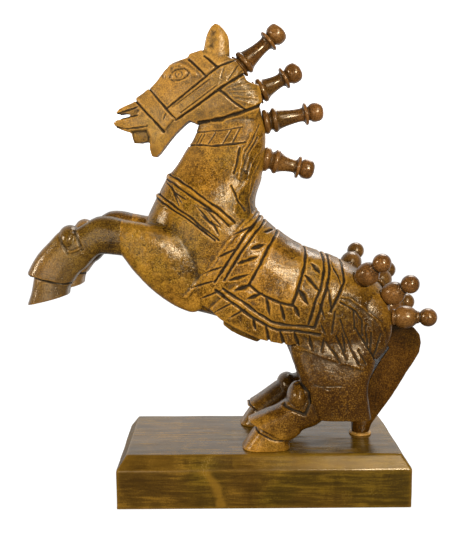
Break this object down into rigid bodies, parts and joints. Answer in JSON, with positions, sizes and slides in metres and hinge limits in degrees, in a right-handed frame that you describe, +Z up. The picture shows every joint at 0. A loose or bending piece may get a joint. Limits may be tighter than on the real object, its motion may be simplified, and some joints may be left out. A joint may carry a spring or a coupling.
{
  "type": "carved horse figurine",
  "caption": "Carved wooden figurine of a rearing horse on a chamfered plinth, with pull-out turned pegs for its mane and tail.",
  "frame": {"origin": "centre of the plinth's underside", "axes": "+Z up, +X towards the horse's tail along the plinth's length, the horse's left flank faces -Y"},
  "size_m": [0.2794, 0.1, 0.3266],
  "materials": {
    "horse_wood": "stained and lacquered, glossy",
    "peg_wood": "stained and lacquered, glossy",
    "plinth_wood": "stained dark, lacquered, glossy",
    "pale_wood": "plain, unstained",
    "steel": "zinc plated"
  },
  "bodies": {
    "figure": {"plinth": "plinth_wood", "horse_body": "horse_wood", "foreleg_left": "horse_wood", "foreleg_right": "horse_wood", "tail_board": "horse_wood", "tail_foot_ring": "pale_wood", "tail_dowel": "pale_wood", "foreleg_dowel_left": "pale_wood", "foreleg_dowel_right": "pale_wood", "hoof_screw_left": "steel", "hoof_screw_right": "steel"},
    "mane_peg_1": {"mane_peg_1": "peg_wood"},
    "mane_peg_2": {"mane_peg_2": "peg_wood"},
    "mane_peg_3": {"mane_peg_3": "peg_wood"},
    "mane_peg_4": {"mane_peg_4": "peg_wood"},
    "tail_peg_left_1": {"tail_peg_left_1": "peg_wood"},
    "tail_peg_left_2": {"tail_peg_left_2": "peg_wood"},
    "tail_peg_left_3": {"tail_peg_left_3": "peg_wood"},
    "tail_peg_right_1": {"tail_peg_right_1": "peg_wood"},
    "tail_peg_right_2": {"tail_peg_right_2": "peg_wood"},
    "tail_peg_right_3": {"tail_peg_right_3": "peg_wood"}
  },
  "joints": [
    {"name": "mane_peg_1_pull", "type": "slide", "parent": "figure", "child": "mane_peg_1", "axis": [0.7547, 0, 0.6561], "range_m": [0, 0.02]},
    {"name": "mane_peg_2_pull", "type": "slide", "parent": "figure", "child": "mane_peg_2", "axis": [0.8829, 0, 0.4695], "range_m": [0, 0.02]},
    {"name": "mane_peg_3_pull", "type": "slide", "parent": "figure", "child": "mane_peg_3", "axis": [0.9816, 0, 0.1908], "range_m": [0, 0.02]},
    {"name": "mane_peg_4_pull", "type": "slide", "parent": "figure", "child": "mane_peg_4", "axis": [0.9724, 0, -0.2334], "range_m": [0, 0.02]},
    {"name": "tail_peg_left_1_pull", "type": "slide", "parent": "figure", "child": "tail_peg_left_1", "axis": [0.4933, -0.6564, 0.5708], "range_m": [0, 0.02]},
    {"name": "tail_peg_left_2_pull", "type": "slide", "parent": "figure", "child": "tail_peg_left_2", "axis": [0.6082, -0.6166, 0.4999], "range_m": [0, 0.02]},
    {"name": "tail_peg_left_3_pull", "type": "slide", "parent": "figure", "child": "tail_peg_left_3", "axis": [0.9751, -0.2203, 0.0245], "range_m": [0, 0.02]},
    {"name": "tail_peg_right_1_pull", "type": "slide", "parent": "figure", "child": "tail_peg_right_1", "axis": [0.3532, 0.7966, 0.4905], "range_m": [0, 0.02]},
    {"name": "tail_peg_right_2_pull", "type": "slide", "parent": "figure", "child": "tail_peg_right_2", "axis": [0.4522, 0.8058, 0.3823], "range_m": [0, 0.02]},
    {"name": "tail_peg_right_3_pull", "type": "slide", "parent": "figure", "child": "tail_peg_right_3", "axis": [0.8747, 0.47, 0.1185], "range_m": [0, 0.02]}
  ]
}
